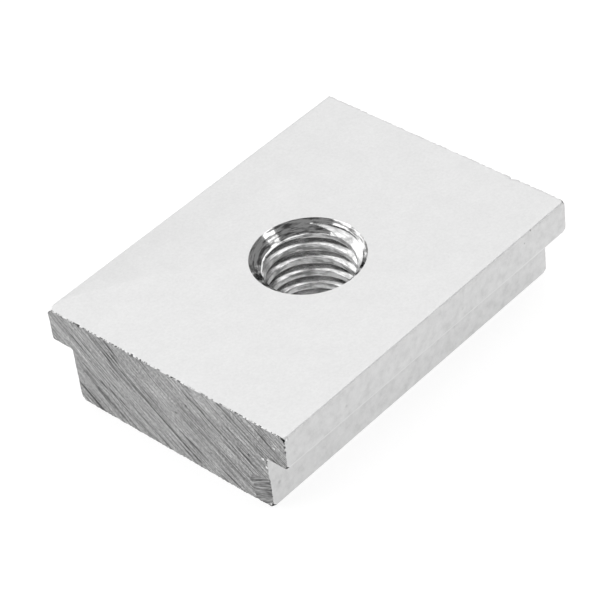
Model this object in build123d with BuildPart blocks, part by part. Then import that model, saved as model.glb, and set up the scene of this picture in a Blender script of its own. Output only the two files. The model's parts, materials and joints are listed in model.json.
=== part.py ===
"""Sliding nut for a T-slot track: a sawn length of extruded aluminium T bar with a tapped M8 hole.

The head is the wide plate that runs inside the slot, under its two lips. The neck is the narrower
bar that stands up between the lips. Both are one extrusion, sawn square to length, and the hole
goes through both of them.

Frame: +X along the slot, +Y across it, +Z up the hole. The origin is at the middle of the neck's
face, on the hole's axis, and the nut stands on that face with its head uppermost.
"""

from build123d import *

import os

# ---------------------------------------------------------------------------
# Driving dimensions, millimetres
# ---------------------------------------------------------------------------

# The extruded T bar
nut_length = 30.8  # sawn length, along the slot
head_width = 23.0  # runs inside the slot, under the lips
head_thickness = 2.9
neck_width = 19.0  # stands up between the lips
neck_height = 4.9

# The die's small corner radii, which run the whole length of the bar
head_face_radius = 0.25  # the two edges of the head's face
head_under_radius = 0.2  # the outer edges of the two shoulders
shoulder_root_radius = 0.2  # the inside corners, where a shoulder meets the neck
neck_face_radius = 0.25  # the two edges of the neck's face

# The tapped hole, M8 coarse
thread_major_diameter = 8.0  # at the roots of the thread, deepest in the wall
tap_drill_diameter = 6.8  # at the crests of the thread: the wall of this plain hole
countersink_diameter = 8.7  # mouth in the head's face
countersink_angle = 90.0
deburr_width = 0.15  # how far the chamfer in the neck's face runs outside the thread

# ---------------------------------------------------------------------------
# Sizes that follow from them
# ---------------------------------------------------------------------------

nut_height = neck_height + head_thickness
shoulder_width = (head_width - neck_width) / 2
shoulder_corner_limit = shoulder_width / 3  # leaves a flat between a shoulder's two corners
tap_drill_radius = tap_drill_diameter / 2
exit_chamfer = thread_major_diameter / 2 + deburr_width - tap_drill_radius
base_centred = (Align.CENTER, Align.MIN)

# ---------------------------------------------------------------------------
# The nut
# ---------------------------------------------------------------------------

with BuildPart() as slot_nut:
    # The bar's section, looking along the slot: the neck with the head across its top. Its
    # corners lie at three levels, which are the neck's face, the shoulders and the head's face.
    with BuildSketch(Plane.YZ) as section:
        Rectangle(neck_width, nut_height, align=base_centred)
        with Locations((0, neck_height)):
            Rectangle(head_width, head_thickness, align=base_centred)

        shoulder_level = section.vertices().group_by(Axis.Y)[1].sort_by(Axis.X)
        outer_corners = [shoulder_level[0], shoulder_level[-1]]
        fillet(outer_corners, radius=min(head_under_radius, shoulder_corner_limit))
        shoulder_level = section.vertices().group_by(Axis.Y)[1].sort_by(Axis.X)
        fillet(shoulder_level[1:-1], radius=min(shoulder_root_radius, shoulder_corner_limit))
        fillet(section.vertices().group_by(Axis.Y)[0], radius=neck_face_radius)
        fillet(section.vertices().group_by(Axis.Y)[-1], radius=head_face_radius)
    extrude(amount=nut_length / 2, both=True)

    # The tap drill's hole goes right through, countersunk from the head's face.
    with Locations((0, 0, nut_height)):
        CounterSinkHole(
            radius=tap_drill_radius,
            counter_sink_radius=countersink_diameter / 2,
            counter_sink_angle=countersink_angle,
        )

    # Where it comes out of the neck's face, it is chamfered to just past the thread's roots.
    drill_exit = slot_nut.edges().filter_by(GeomType.CIRCLE).sort_by(Axis.Z)[0]
    chamfer(drill_exit, length=exit_chamfer)

slot_nut.part.label = "slot_nut"

# ---------------------------------------------------------------------------
# One piece, one STEP file
# ---------------------------------------------------------------------------

os.makedirs("parts", exist_ok=True)
export_step(slot_nut.part, "parts/slot_nut.step")
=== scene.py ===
# %% [markdown]
# # A sliding nut for a T-slot track
#
# The real nut is one short length of aluminium T bar. The bar was pressed hot through a die,
# etched dull and anodised clear, then sawn to length, drilled, countersunk and tapped M8.
# Four surfaces tell that story: the satin bar, the two sawn ends, the turned cone at the mouth
# of the hole, and the bright thread inside it. This lesson builds them in that order.
#
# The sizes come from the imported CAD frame, so the two models share one origin and one scale.

# %% Load the frame
import json
import math
import random

import bmesh
import bpy
from mathutils import Matrix, Vector, noise

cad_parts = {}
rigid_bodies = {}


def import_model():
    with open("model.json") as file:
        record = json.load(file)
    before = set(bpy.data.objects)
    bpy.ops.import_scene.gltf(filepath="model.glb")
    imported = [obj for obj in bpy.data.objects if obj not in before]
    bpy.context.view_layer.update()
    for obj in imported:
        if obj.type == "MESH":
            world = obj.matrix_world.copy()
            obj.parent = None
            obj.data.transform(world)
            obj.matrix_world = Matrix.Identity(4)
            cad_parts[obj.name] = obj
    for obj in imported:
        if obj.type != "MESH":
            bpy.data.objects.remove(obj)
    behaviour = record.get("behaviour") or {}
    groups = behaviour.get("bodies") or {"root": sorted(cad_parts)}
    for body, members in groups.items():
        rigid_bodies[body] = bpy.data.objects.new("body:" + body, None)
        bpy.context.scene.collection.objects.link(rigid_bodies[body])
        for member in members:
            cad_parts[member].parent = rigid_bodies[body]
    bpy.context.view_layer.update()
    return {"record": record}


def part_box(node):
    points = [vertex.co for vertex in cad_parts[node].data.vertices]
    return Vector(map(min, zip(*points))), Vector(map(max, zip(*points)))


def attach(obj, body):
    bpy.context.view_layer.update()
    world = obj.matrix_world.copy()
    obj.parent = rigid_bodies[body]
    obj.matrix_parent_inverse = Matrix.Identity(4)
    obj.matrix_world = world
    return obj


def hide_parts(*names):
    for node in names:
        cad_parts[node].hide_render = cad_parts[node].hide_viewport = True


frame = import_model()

# %% Sizes, in millimetres, from the frame and its mounts
MM = 0.001
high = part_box("slot_nut")[1]
mounts = {mount["name"]: mount for mount in frame["record"]["mounts"]}

half_length = high.x / MM
half_head = high.y / MM
height = high.z / MM
shoulder_z = mounts["shoulder_pos_y"]["pos_m"][2] / MM
half_neck = 2 * mounts["shoulder_pos_y"]["pos_m"][1] / MM - half_head
crest_radius = mounts["screw_thread"]["dims"]["r_mm"]
print("half length %.2f, half head %.2f, half neck %.2f" % (half_length, half_head, half_neck))
print("height %.2f, shoulder at %.2f, hole radius %.2f" % (height, shoulder_z, crest_radius))

# %% [markdown]
# ## The camera
#
# A small metal part is shot from a distance with a long lens, so that its far edges stay almost
# parallel to its near ones. The camera looks down on one sawn end and one long side. It is
# turned a little about its own line of sight, because such a camera is rarely dead level.

# %% Camera
aim = Vector((-4.129, -2.928, height)) * MM
camera_distance = 0.17992
camera_azimuth = math.radians(-43.22)
camera_elevation = math.radians(40.575)
camera_roll = math.radians(7.642)


def towards(azimuth, elevation):
    """A unit direction: azimuth 0 is -Y, growing towards +X, and elevation is above the floor."""
    return Vector(
        (
            math.sin(azimuth) * math.cos(elevation),
            -math.cos(azimuth) * math.cos(elevation),
            math.sin(elevation),
        )
    )


camera_data = bpy.data.cameras.new("camera")
camera_data.lens = 152.42
camera_data.sensor_width = 36.0
camera_data.clip_start = 0.01
camera = bpy.data.objects.new("camera", camera_data)
bpy.context.scene.collection.objects.link(camera)
away = towards(camera_azimuth, camera_elevation)
camera.rotation_mode = "QUATERNION"
camera.rotation_quaternion = (
    away.to_track_quat("Z", "Y") @ Matrix.Rotation(-camera_roll, 3, "Z").to_quaternion()
)
camera.location = aim + away * camera_distance
bpy.context.scene.camera = camera
bpy.context.scene.view_settings.view_transform = "Standard"
print("camera at", [round(v, 4) for v in camera.location])

# %% [markdown]
# ## Colours and nodes
#
# A material is a tree of small nodes. One function adds any node with its settings and its
# links, and a few more name the nodes that come back often. Each of those hands over the
# socket to plug in next. Colours are written as hex and turned into linear light once.


# %% Colours, materials and any node
def colour(code):
    """A hex colour such as #E7E7E8 as linear red, green and blue, and a full alpha."""
    channels = [int(code[i : i + 2], 16) / 255 for i in (1, 3, 5)]
    linear = [c / 12.92 if c <= 0.04045 else ((c + 0.055) / 1.055) ** 2.4 for c in channels]
    return (*linear, 1.0)


def new_material(name):
    """An empty material with an output and a Principled shader already joined."""
    material = bpy.data.materials.new(name)
    material.use_nodes = True
    tree = material.node_tree
    tree.nodes.clear()
    output = tree.nodes.new("ShaderNodeOutputMaterial")
    shader = tree.nodes.new("ShaderNodeBsdfPrincipled")
    tree.links.new(shader.outputs["BSDF"], output.inputs["Surface"])
    return material, tree, shader


def add(tree, kind, settings=None, **inputs):
    """Adds a node, with its settings, and its inputs given as values or as sockets to link."""
    node = tree.nodes.new(kind)
    for key, value in (settings or {}).items():
        setattr(node, key, value)
    for key, value in inputs.items():
        name = key.replace("_", " ")
        socket = node.inputs[int(key[1:])] if key[1:].isdigit() else node.inputs[name]
        if isinstance(value, bpy.types.NodeSocket):
            tree.links.new(value, socket)
        else:
            socket.default_value = value
    return node


# %% The nodes that come back often
def ramp(tree, factor, stops):
    """A colour ramp of greys. Stops are pairs of position and grey."""
    node = add(tree, "ShaderNodeValToRGB", Fac=factor)
    elements = node.color_ramp.elements
    while len(elements) < len(stops):
        elements.new(0.5)
    for element, (position, grey) in zip(elements, stops):
        element.position = position
        element.color = (grey, grey, grey, 1)
    return node.outputs["Color"]


def maths(tree, operation, *values, clamp=False):
    """One sum on plain numbers. Clamp holds the answer between 0 and 1."""
    inputs = {"_%d" % i: value for i, value in enumerate(values)}
    settings = {"operation": operation, "use_clamp": clamp}
    return add(tree, "ShaderNodeMath", settings, **inputs).outputs[0]


def mix(tree, share, first, second, blend="MIX"):
    """Two colours mixed. A share of 0 is all the first, and 1 is all the second."""
    settings = {"data_type": "RGBA", "blend_type": blend}
    return add(tree, "ShaderNodeMix", settings, _0=share, _6=first, _7=second).outputs[2]


def mix_values(tree, share, first, second):
    """The same for two plain numbers."""
    settings = {"data_type": "FLOAT"}
    return add(tree, "ShaderNodeMix", settings, _0=share, _2=first, _3=second).outputs[0]


def speckle(tree, where, scale, detail, roughness, flat=False):
    """Soft noise. Scale is marks a metre, and flat noise ignores the third direction."""
    node = add(
        tree,
        "ShaderNodeTexNoise",
        {"noise_dimensions": "2D" if flat else "3D"},
        Vector=where,
        Scale=scale,
        Detail=detail,
        Roughness=roughness,
    )
    return node.outputs["Fac"]


def remap(tree, value, start, stop, new_start=0.0, new_stop=1.0):
    """Carries the range from start to stop over to the new one, and holds it there."""
    node = add(
        tree,
        "ShaderNodeMapRange",
        Value=value,
        From_Min=start,
        From_Max=stop,
        To_Min=new_start,
        To_Max=new_stop,
    )
    return node.outputs["Result"]


def from_centre(tree, where, centre=(0, 0, 0)):
    """How far a place lies from a centre."""
    settings = {"operation": "DISTANCE"}
    return add(tree, "ShaderNodeVectorMath", settings, _0=where, _1=centre).outputs["Value"]


def carried(tree, name):
    """A number that the mesh carries at each of its corners."""
    return add(tree, "ShaderNodeAttribute", {"attribute_name": name}).outputs["Fac"]


def dents(tree, relief, strength, depth, under=None):
    """Bump drawn from a relief. Depth is in mm, and under is the bump that it lies on."""
    node = add(tree, "ShaderNodeBump", Strength=strength, Distance=depth * MM, Height=relief)
    if under is not None:
        tree.links.new(under, node.inputs["Normal"])
    return node.outputs["Normal"]


def finish_metal(material, shader, shade, dull, dented):
    """Joins a metal's colour, roughness and bump to its shader."""
    tree = material.node_tree
    shader.inputs["Metallic"].default_value = 1.0
    tree.links.new(shade, shader.inputs["Base Color"])
    tree.links.new(dull, shader.inputs["Roughness"])
    tree.links.new(dented, shader.inputs["Normal"])
    print("%s: %d nodes" % (material.name, len(tree.nodes)))


# %% [markdown]
# ## The studio
#
# The nut stands on a white table in a dim room. Metal has no colour of its own to speak of, it
# shows the room, so the five lamps are placed for what each face mirrors: a big soft one above
# and behind for the top, a wide one low on the left for the right-hand wall of the cone and a
# small one over it for the square white patch there, a narrow one at the front for the single
# bright flash in the cone, and one at the side for the sawn end. The rest of the room is dim,
# which gives the cone and the thread their darks.

# %% Floor
floor_half = 1.5
floor_drop = 0.02 * MM
floor_mesh = bpy.data.meshes.new("floor")
floor = bpy.data.objects.new("floor", floor_mesh)
bpy.context.scene.collection.objects.link(floor)
sheet = bmesh.new()
bmesh.ops.create_grid(sheet, x_segments=2, y_segments=2, size=floor_half)
bmesh.ops.translate(sheet, verts=sheet.verts, vec=(0, 0, -floor_drop))
sheet.to_mesh(floor_mesh)
sheet.free()

# The table is plain white card. The camera and the metal also see it lit from beneath, so its
# white doesn't grey off with distance. The lamps still draw the nut's shadow on it.
floor_glow = 0.80
card, tree, shader = new_material("white_card")
shader.inputs["Base Color"].default_value = colour("#9C9C9C")
shader.inputs["Roughness"].default_value = 0.9
shader.inputs["Specular IOR Level"].default_value = 0.0
shader.inputs["Emission Color"].default_value = (1, 1, 1, 1)
path = add(tree, "ShaderNodeLightPath").outputs
seen = maths(tree, "ADD", path["Is Camera Ray"], path["Is Glossy Ray"])
seen = maths(tree, "ADD", seen, path["Is Transmission Ray"], clamp=True)
glow = maths(tree, "MULTIPLY", seen, floor_glow)
tree.links.new(glow, shader.inputs["Emission Strength"])
floor_mesh.materials.append(card)
print("floor: %.1f m square, %.2f mm under the nut" % (2 * floor_half, floor_drop / MM))

# %% Room and lamps
room_grey = 0.23
lamp_distance = 2.0
world = bpy.data.worlds.new("room")
world.use_nodes = True
background = world.node_tree.nodes["Background"]
background.inputs["Color"].default_value = (room_grey, room_grey, room_grey, 1)
background.inputs["Strength"].default_value = 1.0
bpy.context.scene.world = world


def softbox(name, azimuth, elevation, wide, tall, brightness):
    """A rectangular lamp that looks at the nut. Wide and tall are the degrees that it fills."""
    lamp = bpy.data.lights.new(name, "AREA")
    lamp.shape = "RECTANGLE"
    lamp.size = 2 * lamp_distance * math.tan(math.radians(wide / 2))
    lamp.size_y = 2 * lamp_distance * math.tan(math.radians(tall / 2))
    lamp.energy = brightness * math.pi * lamp.size * lamp.size_y
    box = bpy.data.objects.new(name, lamp)
    bpy.context.scene.collection.objects.link(box)
    direction = towards(math.radians(azimuth), math.radians(elevation))
    box.rotation_mode = "QUATERNION"
    box.rotation_quaternion = direction.to_track_quat("Z", "Y")
    box.location = direction * lamp_distance
    print("%s: %.2f by %.2f m, %.1f W" % (name, lamp.size, lamp.size_y, lamp.energy))


softbox("lamp_above", azimuth=140, elevation=66, wide=90, tall=80, brightness=1.12)
softbox("lamp_left", azimuth=-155, elevation=14, wide=74, tall=50, brightness=0.92)
softbox("lamp_cone", azimuth=-124, elevation=40, wide=26, tall=20, brightness=1.1)
softbox("lamp_front", azimuth=33, elevation=37, wide=17, tall=22, brightness=1.6)
softbox("lamp_side", azimuth=-60, elevation=30, wide=50, tall=30, brightness=0.9)

# %% [markdown]
# ## Satin anodised aluminium
#
# The bar is etched in caustic before it is anodised, which eats the die's shine into a fine even
# grain of a tenth of a millimetre or so. The clear oxide on top keeps that dull silver. To the
# eye it is a soft sheen with no sharp reflection, a very fine speckle, and along the sides the
# faintest lines left by the die. The grain is drawn about twice as coarse as the real one.

# %% Anodised aluminium: the etched grain
anodised, tree, shader = new_material("anodised_aluminium")
where = add(tree, "ShaderNodeTexCoord").outputs["Object"]
grain = speckle(tree, where, scale=5200.0, detail=3.0, roughness=0.6)
cloud = speckle(tree, where, scale=420.0, detail=4.0, roughness=0.55)
along = add(tree, "ShaderNodeMapping", Vector=where, Scale=(0.012, 1.0, 1.0)).outputs[0]
die_lines = speckle(tree, along, scale=3600.0, detail=2.0, roughness=0.5)
speckled = mix_values(tree, 0.55, cloud, grain)
shade = mix(tree, speckled, colour("#D3D3D3"), colour("#F0F0F0"))

# %% Anodised aluminium: wear and scuffs
edge_highlight_line = shoulder_z + 0.16
edge_highlight_reach = 0.05
# The walls rub along the slot, so they are a little more blotched than the face. Their greys are
# also set lower than the face's, a painted shade for walls that catch less light. Upright is 1
# where a face looks up and 0 on a wall.
facing = add(tree, "ShaderNodeNewGeometry").outputs["Normal"]
upright = add(tree, "ShaderNodeSeparateXYZ", Vector=facing).outputs["Z"]
on_wall = remap(tree, upright, 0.6, 0.3, 0.0, 0.5)
wall_blotch_noise = speckle(tree, where, scale=1500.0, detail=4.0, roughness=0.6)
shaded_wall_blotches = ramp(tree, wall_blotch_noise, [(0.30, 0.54), (0.48, 0.665), (0.66, 0.745)])
shade = mix(tree, on_wall, shade, shaded_wall_blotches)
# A thin line along the head's lower edges, just over the shoulder, is painted bright, a painted
# highlight.
level = add(tree, "ShaderNodeSeparateXYZ", Vector=where).outputs["Z"]
on_edge_highlight = maths(tree, "COMPARE", level, edge_highlight_line * MM, edge_highlight_reach * MM)
shade = mix(tree, on_edge_highlight, shade, colour("#E6E6E6"))
# The small radius along every corner of the bar is painted bright, a painted highlight.
corner_highlight = ramp(tree, upright, [(0.22, 0.0), (0.40, 0.9), (0.88, 0.9), (0.97, 0.0)])
shade = mix(tree, corner_highlight, shade, colour("#F6F6F6"))
# A few small dark spots: a centre and a radius in mm, and how dark each one is. The first two
# stand for small dents in the head's side, which are not modelled, and their dark is painted shade.
dark_spots = [
    ((11.35, -11.5, 7.72), 0.10, 0.55),
    ((10.59, -11.5, 7.01), 0.09, 0.35),
    ((-14.50, -9.5, 1.90), 0.20, 0.18),
    ((-9.20, -11.5, 6.10), 0.16, 0.12),
    ((3.40, -11.5, 5.90), 0.18, 0.10),
]
for place, reach, darkness in dark_spots:
    away_from = from_centre(tree, where, Vector(place) * MM)
    mark = remap(tree, away_from, reach * MM, 0.4 * reach * MM, 0.0, darkness)
    shade = mix(tree, mark, shade, colour("#303030"))
dull = remap(tree, cloud, 0.0, 1.0, 0.50, 0.62)
etched = dents(tree, grain, strength=0.16, depth=0.02)
drawn = dents(tree, die_lines, strength=0.06, depth=0.02, under=etched)
finish_metal(anodised, shader, shade, dull, drawn)

# %% [markdown]
# ## Sawn aluminium
#
# The bar is cut to length by a large circular saw, and nothing is done to the ends afterwards.
# Each tooth leaves an arc, struck from the blade's middle far outside the bar, so the marks
# are long, slightly curved and nearly parallel. The metal is bare and torn. Its greys are set
# darker still, partly a painted shade for an end that faces away from the light.
# The pattern follows the distance from the blade's middle. The deep marks are cut in the mesh
# further down, and the shader adds the marks that are finer than the mesh.

# %% Sawn aluminium: places along the blade's arcs
blade_y = -72.0
blade_z = 104.0
sawn, tree, shader = new_material("sawn_aluminium")
where = add(tree, "ShaderNodeTexCoord").outputs["Object"]
from_blade = add(
    tree,
    "ShaderNodeMapping",
    Vector=where,
    Location=(0, -blade_y * MM, -blade_z * MM),
    Scale=(0, 1, 1),
).outputs[0]
outwards = from_centre(tree, from_blade)
parts = add(tree, "ShaderNodeSeparateXYZ", Vector=from_blade).outputs
turn = maths(tree, "ARCTAN2", parts["Z"], parts["Y"])
arc = add(tree, "ShaderNodeCombineXYZ", X=outwards, Y=turn).outputs[0]
print("the blade's middle lies %.0f mm from the nut" % math.hypot(blade_y, blade_z))


def arc_marks(across, along, detail, roughness):
    """Noise drawn out along the blade's arcs: across is marks a metre, along is marks a radian."""
    spread = add(tree, "ShaderNodeMapping", Vector=arc, Scale=(across, along, 1.0)).outputs[0]
    return speckle(tree, spread, 1.0, detail, roughness, flat=True)


# %% Sawn aluminium: lines, crumbs and scratches
coarse = arc_marks(across=5600.0, along=11.0, detail=3.0, roughness=0.6)
fine = arc_marks(across=12500.0, along=40.0, detail=2.0, roughness=0.6)
crumbs = speckle(tree, where, scale=5200.0, detail=4.0, roughness=0.7)
blotch = speckle(tree, where, scale=600.0, detail=3.0, roughness=0.6)
lined = mix_values(tree, 0.72, coarse, fine)
mixed = mix_values(tree, 0.48, lined, crumbs)
# The saw lines' greys are low, partly a painted shade for the end, which faces away from the light.
saw_lines = ramp(
    tree,
    mixed,
    [(0.38, 0.21), (0.45, 0.29), (0.51, 0.39), (0.57, 0.53), (0.64, 0.76)],
)
# Where smooth noise crosses its middle value it draws a long thin line, like a single scratch.
# There are long bold scratches and shorter, fainter ones between them.
scratch_core = 0.008
scratch_edge = 0.023
scratches = 0.0
for across, along, strength in ((1400.0, 6.0, 0.80), (2500.0, 11.0, 0.45)):
    smooth = arc_marks(across, along, detail=1.0, roughness=0.4)
    off_middle = maths(tree, "ABSOLUTE", maths(tree, "SUBTRACT", smooth, 0.5))
    scratch = remap(tree, off_middle, scratch_core, scratch_edge, strength, 0.0)
    scratches = maths(tree, "MAXIMUM", scratches, scratch)
shade = mix(tree, scratches, saw_lines, colour("#303030"))

# %% Sawn aluminium: the torn corner and the knocks
# Where the last of the metal tore off, the lines run the other way. The patch is also painted
# darker, a painted shade: its face tilts down and mirrors the nut's shadow on the table.
tear_angle = math.radians(-28)
across_tear = add(
    tree,
    "ShaderNodeMapping",
    {"vector_type": "TEXTURE"},
    Vector=where,
    Rotation=(tear_angle, 0, 0),
    Scale=(1, 1 / 600, 1 / 6000),
).outputs[0]
tears = speckle(tree, across_tear, scale=1.0, detail=3.0, roughness=0.6)
torn_lines_and_shade = ramp(tree, tears, [(0.34, 0.08), (0.46, 0.20), (0.54, 0.30), (0.64, 0.48)])
patch = carried(tree, "torn")
relief = mix_values(tree, patch, mixed, tears)
shade = mix(tree, patch, shade, torn_lines_and_shade)
# Painted shade darkens the troughs of the heavy marks, the dipped burr teeth, the knocks and the
# chips. Painted highlight brightens the lips of the marks, the proud burr teeth and the glints.
shade = mix(tree, carried(tree, "painted_shade"), shade, colour("#1E1E1E"))
shade = mix(tree, carried(tree, "painted_highlight"), shade, colour("#F0F0F0"))
dull = remap(tree, blotch, 0.0, 1.0, 0.36, 0.62)
finish_metal(sawn, shader, shade, dull, dents(tree, relief, strength=0.7, depth=0.06))

# %% [markdown]
# ## Turned cone and tapped thread
#
# The countersink turns as it cuts, so its marks are rings about the hole, bright and close to a
# mirror. The tap leaves the thread bright too, a little smeared along the turn of the screw.
# Both patterns are drawn on how far out, how far round and how high a place lies.

# %% Marks that run round the hole
hole_x = -0.04
hole_y = -0.16
# The angle jumps back on the wall nearest the camera, which can't be seen from there.
seam_angle = math.radians(43)


def round_the_hole(tree, across, around, climb=0.0):
    """Noise drawn out round the hole. Across is marks a metre outwards and upwards, around is
    marks a radian, and climb is how far a mark rises in a radian, for one that follows a thread."""
    where = add(tree, "ShaderNodeTexCoord").outputs["Object"]
    centred = add(
        tree,
        "ShaderNodeMapping",
        {"vector_type": "TEXTURE"},
        Vector=where,
        Location=(hole_x * MM, hole_y * MM, 0),
        Rotation=(0, 0, seam_angle),
    ).outputs[0]
    x, y, z = add(tree, "ShaderNodeSeparateXYZ", Vector=centred).outputs
    radius = from_centre(tree, add(tree, "ShaderNodeCombineXYZ", X=x, Y=y).outputs[0])
    angle = maths(tree, "ARCTAN2", y, x)
    level = maths(tree, "MULTIPLY_ADD", angle, -climb, z)
    polar = add(tree, "ShaderNodeCombineXYZ", X=radius, Y=angle, Z=level).outputs[0]
    scales = (across, around, across)
    spread = add(tree, "ShaderNodeMapping", Vector=polar, Scale=scales).outputs[0]
    return speckle(tree, spread, scale=1.0, detail=3.0, roughness=0.6), radius


# %% Turned aluminium
turned, tree, shader = new_material("turned_aluminium")
rings = round_the_hole(tree, across=5200.0, around=3.0)[0]
shade = ramp(tree, rings, [(0.40, 0.18), (0.48, 0.56), (0.55, 0.90)])
dull = remap(tree, rings, 0.0, 1.0, 0.16, 0.06)
finish_metal(turned, shader, shade, dull, dents(tree, rings, strength=0.05, depth=0.02))

# %% Tapped aluminium
pitch = 1.25
thread_depth = 0.6
rise = pitch * MM / (2 * math.pi)
tapped, tree, shader = new_material("tapped_aluminium")
smear, radius = round_the_hole(tree, across=2600.0, around=3.0, climb=rise)
bright = ramp(tree, smear, [(0.40, 0.55), (0.56, 1.0)])
# The crests are still the drill's wall, torn and matt. The tap's own cut is bright down the
# flank, and it is painted darker towards the root, a painted shade in the groove. To_root is 0 at
# a crest and 1 at a root.
to_root = remap(tree, radius, crest_radius * MM, (crest_radius + thread_depth) * MM)
painted_root_shade = ramp(tree, to_root, [(0.04, 1.0), (0.12, 0.84), (1.0, 0.66)])
shade = mix(tree, 1.0, bright, painted_root_shade, blend="MULTIPLY")
dull = remap(tree, to_root, 0.02, 0.10, 0.85, 0.15)
finish_metal(tapped, shader, shade, dull, dents(tree, smear, strength=0.15, depth=0.03))

finishes = [anodised, sawn, turned, tapped]
SAWN = finishes.index(sawn)
TURNED = finishes.index(turned)
TAPPED = finishes.index(tapped)
print("finishes:", ", ".join(finish.name for finish in finishes))

# %% [markdown]
# ## The bar
#
# The die gives the section: a wide head over a narrower neck, with every corner eased by a
# small radius. The section starts as a grid of three columns and two rows, whose lines are
# moved to the levels of the T. Two cells go, the rest are joined into one face, its corners are
# rounded, and the face is drawn along the bar.

# %% T bar
die_radius = 0.18
foot_radius = 0.20
foot_level = 0.1
corner_steps = 4
nearly_straight = 0.01
bar = bmesh.new()
bmesh.ops.create_grid(bar, x_segments=3, y_segments=2, size=1.5)
columns = {-1.5: -half_head, -0.5: -half_neck, 0.5: half_neck, 1.5: half_head}
rows = {-1.5: 0.0, 0.0: shoulder_z, 1.5: height}
for vert in bar.verts:
    across = columns[round(vert.co.x, 3)]
    up = rows[round(vert.co.y, 3)]
    vert.co = Vector((-half_length, across, up))
spare = [
    face
    for face in bar.faces
    if abs(face.calc_center_median().y) > half_neck
    and face.calc_center_median().z < shoulder_z
]
bmesh.ops.delete(bar, geom=spare, context="FACES")
section = bmesh.ops.dissolve_faces(bar, faces=bar.faces[:])["region"][0]
straight = [v for v in section.verts if abs(v.calc_edge_angle(0)) < nearly_straight]
bmesh.ops.dissolve_verts(bar, verts=straight)
print("corners of the section:", len(bar.verts))
foot = [vert for vert in bar.verts if vert.co.z < foot_level]
rest = [vert for vert in bar.verts if vert.co.z > foot_level]
for corners, radius in ((foot, foot_radius), (rest, die_radius)):
    bmesh.ops.bevel(
        bar,
        geom=corners,
        offset=radius,
        offset_type="OFFSET",
        segments=corner_steps,
        profile=0.5,
        affect="VERTICES",
    )
section = max(bar.faces, key=lambda face: face.calc_area())
print("section of %d sides, %.1f square mm" % (len(section.verts), section.calc_area()))
pressed = bmesh.ops.extrude_face_region(bar, geom=bar.faces[:], use_keep_orig=True)
far_verts = [item for item in pressed["geom"] if isinstance(item, bmesh.types.BMVert)]
bmesh.ops.translate(bar, verts=far_verts, vec=(2 * half_length, 0, 0))
bmesh.ops.recalc_face_normals(bar, faces=bar.faces[:])
print("bar: %d faces, volume %.1f cubic mm" % (len(bar.faces), bar.calc_volume()))


def as_object(name, shape):
    """Hands a bmesh over to a new object with the four finishes in its slots."""
    mesh = bpy.data.meshes.new(name)
    shape.to_mesh(mesh)
    shape.free()
    for finish in finishes:
        mesh.materials.append(finish)
    made = bpy.data.objects.new(name, mesh)
    bpy.context.scene.collection.objects.link(made)
    return made


nut = as_object("slot_nut_body", bar)

# %% [markdown]
# ## The hole
#
# An M8 coarse tap advances 1.25 mm a turn and cuts a 60 degree V to 8 mm across. The tap is
# made here as a solid: one pitch of its outline is spun round the axis while it climbs, the
# turns are merged, and both ends are cut square and closed. It cuts the bar as the real one
# does, and a plain cone opens each end of the hole. The cutters are then thrown away.

# %% The tap
root_radius = 4.0
root_flat = pitch / 8
half_angle = math.radians(30)
flank_run = (root_radius - crest_radius) * math.tan(half_angle)
crest_flat = pitch - root_flat - 2 * flank_run
crest_ease = 0.11
root_ease = 0.06
steps_a_turn = 96
turns = 8
start_of_thread = -1.99
tap_bottom = -0.3
tap_top = height + 0.3
# Corners closer than weld become one, and a corner closer than on_plane lies on a plane.
weld = 0.0005
on_plane = 0.00001


def eased(points, radii, pieces=4):
    """A line through the points, with each inner corner rounded over about its own radius."""
    line = [points[0]]
    for before, corner, after, radius in zip(points, points[1:], points[2:], radii):
        start = corner + (before - corner).normalized() * radius
        end = corner + (after - corner).normalized() * radius
        for i in range(pieces + 1):
            t = i / pieces
            line.append(start * (1 - t) ** 2 + corner * 2 * t * (1 - t) + end * t * t)
    line.append(points[-1])
    return line


def chain(shape, points):
    """Joins the points with edges, one after another."""
    verts = [shape.verts.new(point) for point in points]
    return verts + [shape.edges.new(pair) for pair in zip(verts, verts[1:])]


rises = [0, crest_flat / 2, flank_run, root_flat, flank_run, crest_flat / 2]
radii = [crest_radius, crest_radius, root_radius, root_radius, crest_radius, crest_radius]
outline = []
level = start_of_thread
for rise, radius in zip(rises, radii):
    level += rise
    outline.append(Vector((radius, 0, level)))
tap = bmesh.new()
profile = chain(tap, eased(outline, [crest_ease, root_ease, root_ease, crest_ease]))
bmesh.ops.spin(
    tap,
    geom=profile,
    cent=(0, 0, 0),
    axis=(0, 0, 1),
    dvec=(0, 0, pitch / steps_a_turn),
    angle=2 * math.pi * turns,
    steps=steps_a_turn * turns,
)
bmesh.ops.remove_doubles(tap, verts=tap.verts[:], dist=weld)
for level, up in ((tap_bottom, -1), (tap_top, 1)):
    bmesh.ops.bisect_plane(
        tap,
        geom=tap.verts[:] + tap.edges[:] + tap.faces[:],
        dist=on_plane,
        plane_co=(0, 0, level),
        plane_no=(0, 0, up),
        clear_outer=True,
    )
bmesh.ops.holes_fill(tap, edges=[e for e in tap.edges if e.is_boundary], sides=0)
bmesh.ops.recalc_face_normals(tap, faces=tap.faces[:])
for face in tap.faces:
    face.material_index = TAPPED
open_edges = sum(not e.is_manifold for e in tap.edges)
print("tap: %d faces, %d open edges, volume %.1f" % (len(tap.faces), open_edges, tap.calc_volume()))

# %% The two countersinks
mouth_radius = 4.35
mouth_step = 0.12
exit_radius = root_radius + 0.15
cone_offset = (-0.07, 0.05, 0)
cone_steps = 128
overrun = 0.6
ring_gap = (0.06, 0.16)
ring_depth = 0.002
chatter = random.Random(8)


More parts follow.
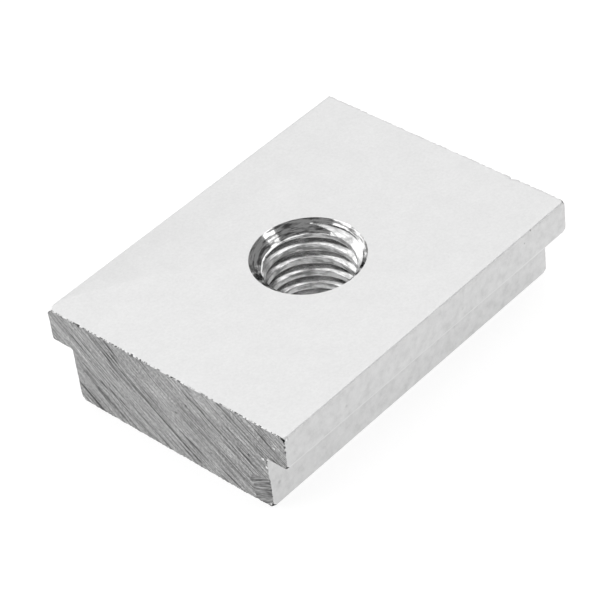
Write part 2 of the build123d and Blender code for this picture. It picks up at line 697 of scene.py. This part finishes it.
def cone_tool(name, radius, tip, level, up):
    """A 90 degree cutter whose cone is that radius at that level and widens the way up points.
    It is flat inside the tip's radius, so it leaves a narrow bright step round the hole. The
    chatter of the cut wanders its wall in and out by a hair, in rings at uneven gaps."""
    cutter = bmesh.new()
    depth = radius - tip
    line = [Vector((0, 0, level - up * depth))]
    run = -depth
    while run < overrun:
        wander = chatter.uniform(-ring_depth, ring_depth)
        line.append(Vector((radius + run + wander, 0, level + up * (run - wander))))
        run += chatter.uniform(*ring_gap)
    line.append(Vector((0, 0, line[-1].z)))
    bmesh.ops.spin(
        cutter,
        geom=chain(cutter, line),
        cent=(0, 0, 0),
        axis=(0, 0, 1),
        angle=2 * math.pi,
        steps=cone_steps,
        use_merge=True,
    )
    bmesh.ops.remove_doubles(cutter, verts=cutter.verts[:], dist=weld)
    bmesh.ops.recalc_face_normals(cutter, faces=cutter.faces[:])
    for face in cutter.faces:
        face.material_index = TURNED
    print(name, "open edges", sum(not e.is_manifold for e in cutter.edges))
    return as_object(name, cutter)


countersink = cone_tool("countersink", mouth_radius, crest_radius + mouth_step, height, 1)
back_countersink = cone_tool("back_countersink", exit_radius, crest_radius, 0.0, -1)
# The countersink ran a little off the axis of the thread.
countersink.location = cone_offset

# %% Cut the hole
tools = [as_object("tap", tap), countersink, back_countersink]
for tool in tools:
    tool.location += Vector((hole_x, hole_y, 0))
    cutting = nut.modifiers.new(tool.name, "BOOLEAN")
    cutting.operation = "DIFFERENCE"
    cutting.solver = "EXACT"
    cutting.object = tool
bpy.context.view_layer.update()
graph = bpy.context.evaluated_depsgraph_get()
cut_mesh = bpy.data.meshes.new_from_object(nut.evaluated_get(graph))
nut.modifiers.clear()
nut.data = cut_mesh
for tool in tools:
    bpy.data.objects.remove(tool)
body = bmesh.new()
body.from_mesh(cut_mesh)
open_edges = sum(not e.is_manifold for e in body.edges)
print("cut bar: %d faces, %d open edges" % (len(body.faces), open_edges))
print("volume with the thread: %.1f cubic mm" % body.calc_volume())

# %% [markdown]
# ## The sawn ends
#
# Both ends get a fine mesh, so that the saw's deeper marks, the ragged top edge and the knocked
# corners are real shape. Planes cut the last stretch of the bar into small squares: the finest
# ones at the near end, and squares twice as wide at the far one.

# %% A fine mesh at each end


def slices(shape, geometry, axis, positions):
    """Cuts the geometry with planes across one axis, and returns it with the new pieces."""
    normal = Vector((axis == "x", axis == "y", axis == "z"))
    for position in positions:
        geometry = bmesh.ops.bisect_plane(
            shape,
            geom=geometry,
            dist=0.0001,
            plane_co=normal * position,
            plane_no=normal,
        )["geom"]
    return geometry


def span(start, stop, step):
    """Evenly spaced positions strictly between start and stop."""
    count = max(1, round((stop - start) / step))
    return [start + (stop - start) * i / count for i in range(1, count)]


band = 1.4
insets = (0.10, 0.19, 0.31, 0.45, 0.6, band)
near_step = 0.07
far_step = 0.14
# A corner closer than this to a level counts as lying on it.
touching = 0.001
for side in (-1, 1):
    step = near_step if side < 0 else far_step
    loops = [side * (half_length - inset) for inset in insets]
    slices(body, body.verts[:] + body.edges[:] + body.faces[:], "x", loops)
    limit = half_length - band - touching
    verts = [vert for vert in body.verts if side * vert.co.x > limit]
    inside = set(verts)
    edges = [edge for edge in body.edges if inside.issuperset(edge.verts)]
    faces = [face for face in body.faces if inside.issuperset(face.verts)]
    fine_end = slices(body, verts + edges + faces, "z", span(0, height, step))
    slices(body, fine_end, "y", span(-half_head, half_head, step))
print("with fine ends: %d faces" % len(body.faces))

# %% [markdown]
# ## Saw marks, burr and knocks
#
# Every corner of the fine mesh on an end face is pushed in by its own depth. The whole face
# sinks a little, each heavy tooth mark is a trough with a raised lip along its arc, and only
# the highest teeth of the burr still reach full length. Each corner of the mesh also carries
# its painted shade, its painted highlight and how torn it is, which the sawn finish reads.

# %% The heavy saw marks
recess = 0.03
middle_reach = math.hypot(blade_y, 0.5 * height - blade_z)


def wave(value, seed):
    """Smooth seeded noise along a line, from -1 to 1."""
    return noise.noise(Vector((value, seed * 7.31, seed * 3.17)))


def held(value):
    """The value, held between 0 and 1."""
    return min(1.0, max(0.0, value))


# How far outside the middle arc, half width, depth, and from y to y. The heaviest is a pair
# that the blade struck as it wandered, and the last is a broad one near a corner.
deep_marks = [
    (1.72, 0.07, 0.060, 3.4, 8.2),
    (1.42, 0.08, 0.075, -3.2, 7.5),
    (1.10, 0.05, 0.030, -0.4, 2.6),
    (3.75, 0.07, 0.045, 3.4, 10.8),
    (3.20, 0.05, 0.030, 5.6, 10.0),
    (2.70, 0.04, 0.020, 4.0, 9.4),
    (-1.00, 0.07, 0.045, -6.8, -0.9),
    (-0.30, 0.04, 0.020, -5.0, 1.0),
    (-2.20, 0.04, 0.020, -7.0, -2.0),
    (-3.70, 0.08, 0.060, -6.8, -2.0),
    (-4.10, 0.08, 0.055, -9.5, -6.0),
    (-5.05, 0.05, 0.035, -10.2, -5.2),
    (-5.85, 0.08, 0.065, -10.0, -4.8),
    (-6.60, 0.05, 0.040, -10.8, -6.4),
    (5.70, 0.22, 0.050, 4.4, 9.2),
]
broad = 0.1
mark_fade = 0.8
lip_place = 1.9
# The last corner to be cut tore away, beyond this side and under a line that slopes down in y.
# Its own marks run down that corner at another slope.
tear_side = -7.7
tear_top = 0.55
tear_slope = -0.24
tear_edge = 0.12
tear_lines = 0.54


def end_shape(y, z, seed, further):
    """Depth, painted shade, painted highlight and tearing at a point of a sawn end, its marks moved
    further out.
    """
    dy = y - blade_y
    dz = z - blade_z
    reach = math.hypot(dy, dz) - middle_reach
    turn = math.atan2(dz, dy) * middle_reach
    # The blade wandered a little. Its light marks are a slow ripple, a quick one and a grain.
    reach += 0.05 * wave(turn * 0.4, seed + 5)
    depth = recess + 0.009 * wave(reach * 3.1, seed) + 0.006 * wave(reach * 7.9, seed + 1)
    depth += 0.004 * noise.noise(Vector((y * 5, z * 5, seed)))
    dark = 0.0
    shine = 0.0
    # A heavy mark comes and goes along its arc, and fades in and out where it starts and ends.
    for offset, width, deep, start, end in deep_marks:
        if not start < y < end:
            continue
        broken = 0.75 + 0.6 * wave(turn * 1.7, offset)
        fade = min(1.0, (y - start) / mark_fade, (end - y) / mark_fade) * broken
        away = (reach - offset - further) / width
        trough = fade * math.exp(-away * away)
        lip = fade * math.exp(-((away - lip_place) ** 2))
        depth += deep * (trough - 0.3 * lip)
        # A trough is painted dark, a painted shade in the groove, and a narrow lip is painted
        # bright, a painted highlight.
        dark += 11 * deep * trough
        shine += 4 * deep * lip * (width < broad)
    past_side = tear_side + 0.25 * wave(z * 2.1, 9) - y
    under_top = tear_top + tear_slope * y + 0.15 * wave(y * 2.3, 4) - z
    torn = held(past_side / tear_edge) * held(under_top / tear_edge)
    if torn > 0:
        line = z + tear_lines * y
        own = 0.05 + 0.03 * wave(line * 5.5, 7) + 0.02 * wave(line * 13, 8)
        depth += torn * own
        dark *= 1 - torn
        shine *= 1 - torn
    return depth, held(dark), held(shine), torn


# %% Sink the end faces and fray their edges
painted_shade = body.verts.layers.float.new("painted_shade")
painted_highlight = body.verts.layers.float.new("painted_highlight")
torn_off = body.verts.layers.float.new("torn")
# The same blade cut the far end, so its marks lie on the same arcs but further out. The edge
# there was rubbed nearly straight again after sawing. Each end has its side, the seed of its
# noise, how much further out its marks lie, and how frayed its edge is.
ends = [(-1, 3, 0.0, 1.0), (1, 11, 1.3, 0.35)]
level_edge = 0.2
fray = 0.04
deepest_fray = 0.09
# The top edge is frayed further, and it also dips: by this much, and by this much more per
# unit of fraying, up to the highest tooth.
top_fray = 0.06
top_dip = 0.05
top_jag = 0.08
highest_tooth = -0.6
for side, seed, further, frayed in ends:
    moved = 0
    for vert in body.verts:
        if side * vert.co.x < half_length - touching:
            continue
        y, z = vert.co.y, vert.co.z
        depth, vert[painted_shade], vert[painted_highlight], vert[torn_off] = end_shape(y, z, seed, further)
        # A corner on the rim also belongs to a face that looks sideways. Its place along the rim
        # is y on the level edges, and on the upright ones z, carried to another stretch of noise.
        if any(abs(face.normal.x) < 0.5 for face in vert.link_faces):
            place = y if z > height - level_edge or z < level_edge else z * 1.3 + 40
            ragged = 0.6 * wave(place * 2.9, seed + 2) + 1.0 * wave(place * 7.7, seed + 3)
            ragged += 1.3 * wave(place * 12.9, seed + 4)
            ragged *= frayed
            depth += fray * ragged
            if z > height - touching:
                depth += top_fray * ragged
                vert.co.z -= top_dip + top_jag * max(highest_tooth, ragged)
                # A tooth that dips is painted dark, a painted shade, and one that stands proud is
                # painted bright, a painted highlight.
                vert[painted_highlight] = max(0.0, -ragged)
                vert[painted_shade] = max(0.0, ragged - 0.1)
            depth = min(depth, deepest_fray)
        vert.co.x -= side * max(0.0, depth)
        moved += 1
    print("end at %+.1f mm: %d corners set" % (side * half_length, moved))

# %% Knocks, chips and glints
# The burr snagged and broke at a few places. Each has a centre, a reach and a push in x, y, z,
# and how much painted shade darkens the dent there.
near_x = -half_length
knocks = [
    ((near_x, half_head, height), 0.50, (0.06, -0.10, -0.16), 0.2),
    ((near_x, -half_head, height), 0.50, (0.05, 0.04, -0.14), 0.0),
    ((near_x - 0.04, -half_head, height - 0.82), 0.20, (0.12, 0.11, 0.0), 1.5),
    ((near_x - 0.04, -half_head, height - 1.25), 0.17, (0.10, 0.10, 0.0), 1.4),
    ((near_x, -half_head, shoulder_z + 0.10), 0.24, (0.10, 0.05, 0.03), 1.5),
    ((near_x, -half_neck, shoulder_z - 0.45), 0.18, (0.10, 0.06, 0.0), 1.0),
    ((near_x, -half_neck, 2.6), 0.18, (0.08, 0.10, 0.0), 1.2),
    ((near_x - 0.03, -half_neck, 1.75), 0.20, (0.10, 0.11, 0.0), 0.8),
    ((near_x - 0.04, -half_neck, 1.15), 0.18, (0.10, 0.10, 0.0), 1.2),
    ((near_x, -half_neck, 0.1), 0.32, (0.14, 0.14, 0.12), 1.8),
    ((near_x, half_neck, 0.0), 0.45, (0.08, -0.02, 0.02), 0.9),
    ((near_x, 8.3, height), 0.20, (0.10, 0.0, -0.04), 1.0),
    ((near_x, 2.9, height), 0.24, (0.10, 0.0, -0.03), 0.9),
    ((near_x, 3.7, height), 0.20, (0.09, 0.0, -0.03), 0.9),
    ((near_x, -0.78, 4.29), 0.14, (0.05, 0.0, 0.0), 1.0),
    ((near_x, -2.0, 5.64), 0.13, (0.05, 0.0, 0.0), 0.9),
    ((near_x, -7.75, 4.2), 0.16, (0.05, 0.0, 0.0), 1.0),
    ((near_x, -3.8, 2.1), 0.13, (0.05, 0.0, 0.0), 0.9),
    ((half_length, -6.7, height), 0.30, (-0.14, 0.0, -0.08), 0.8),
    ((half_length, -half_head, shoulder_z), 0.30, (-0.08, 0.10, 0.12), 0.3),
    ((half_length, -half_neck, 0.0), 0.40, (-0.12, 0.06, 0.10), 0.0),
]
# Two corners of the head broke off flat: the corner, then how far along x, y and z.
chips = [
    ((near_x, -half_head, height), (0.34, 0.52, 0.52)),
    ((half_length, -half_head, height), (0.34, 0.30, 0.34)),
]
# Small spots painted bright, painted glints: a centre and a reach.
glints = [
    ((near_x + 0.30, -half_head, height - 0.26), 0.14),
    ((near_x, -half_neck + 0.25, 0.22), 0.13),
    ((near_x, -half_neck + 0.12, 3.9), 0.12),
    ((near_x, -half_neck + 0.35, 4.6), 0.12),
    ((near_x, -10.4, 6.3), 0.10),
]


def near(place, reach):
    """Each corner of the mesh within reach of a place, with its distance as a share of reach."""
    for vert in body.verts:
        share = (vert.co - Vector(place)).length / reach
        if share < 1:
            yield vert, share


for place, reach, push, darkness in knocks:
    for vert, share in near(place, reach):
        fade = (1 - share**2) ** 2
        vert.co += Vector(push) * fade
        # Each knock's dent is painted darker, a painted shade.
        vert[painted_shade] = min(1.0, vert[painted_shade] + darkness * fade)
for corner, sizes in chips:
    broken_face = Vector([-math.copysign(1 / size, at) for at, size in zip(corner, sizes)])
    for vert in body.verts:
        share = (vert.co - Vector(corner)).dot(broken_face)
        if share < 1:
            vert.co += broken_face * (1 - share) / broken_face.length_squared
            # The broken face is painted fully dark, a painted shadow.
            vert[painted_shade] = 1.0
for place, reach in glints:
    for vert, share in near(place, reach):
        vert[painted_highlight] = 1.0
        vert[painted_shade] = 0.0
print("%d knocks, %d chips and %d glints" % (len(knocks), len(chips), len(glints)))

# %% [markdown]
# ## Which finish goes where
#
# The hole's faces kept the finish of the tool that cut them. Faces near an end that look along
# the bar, or that carry much painted shade and painted highlight where the burr broke, are bare
# sawn metal. A broken face that looks up counts as less broken, because the anodised top runs
# almost to the burr. All the rest is anodised. Faces are shaded smooth, and every edge sharper
# than the limit stays crisp.

# %% Finishes by place
end_reach = 0.4
facing_out = 0.6
broken_limit = 0.4
top_cover = 0.4
sharp_angle = math.radians(32)
body.normal_update()
for face in body.faces:
    beyond = abs(face.calc_center_median().x) > half_length - end_reach
    # How broken a face is, is its painted shade and painted highlight.
    broken = sum(vert[painted_shade] + vert[painted_highlight] for vert in face.verts) / len(face.verts)
    broken -= top_cover * abs(face.normal.z)
    if beyond and (abs(face.normal.x) > facing_out or broken > broken_limit):
        face.material_index = SAWN
for edge in body.edges:
    edge.smooth = len(edge.link_faces) == 2 and edge.calc_face_angle(0) < sharp_angle
for face in body.faces:
    face.smooth = True
for index, finish in enumerate(finishes):
    count = sum(face.material_index == index for face in body.faces)
    print("%s: %d faces" % (finish.name, count))

# %% [markdown]
# ## Handing the nut over
#
# The shape was made in millimetres, and the frame is in metres, so the mesh is scaled once at
# the end and its object stays unscaled. The nut is one piece that rides on the root body, and it
# replaces the CAD node of the same part.

# %% Hand over the finished piece, in metres
bmesh.ops.scale(body, vec=(MM, MM, MM), verts=body.verts[:])
body.to_mesh(nut.data)
print("slot_nut_body: %d faces, %d corners" % (len(body.faces), len(body.verts)))
body.free()
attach(nut, "root")
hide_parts("slot_nut")
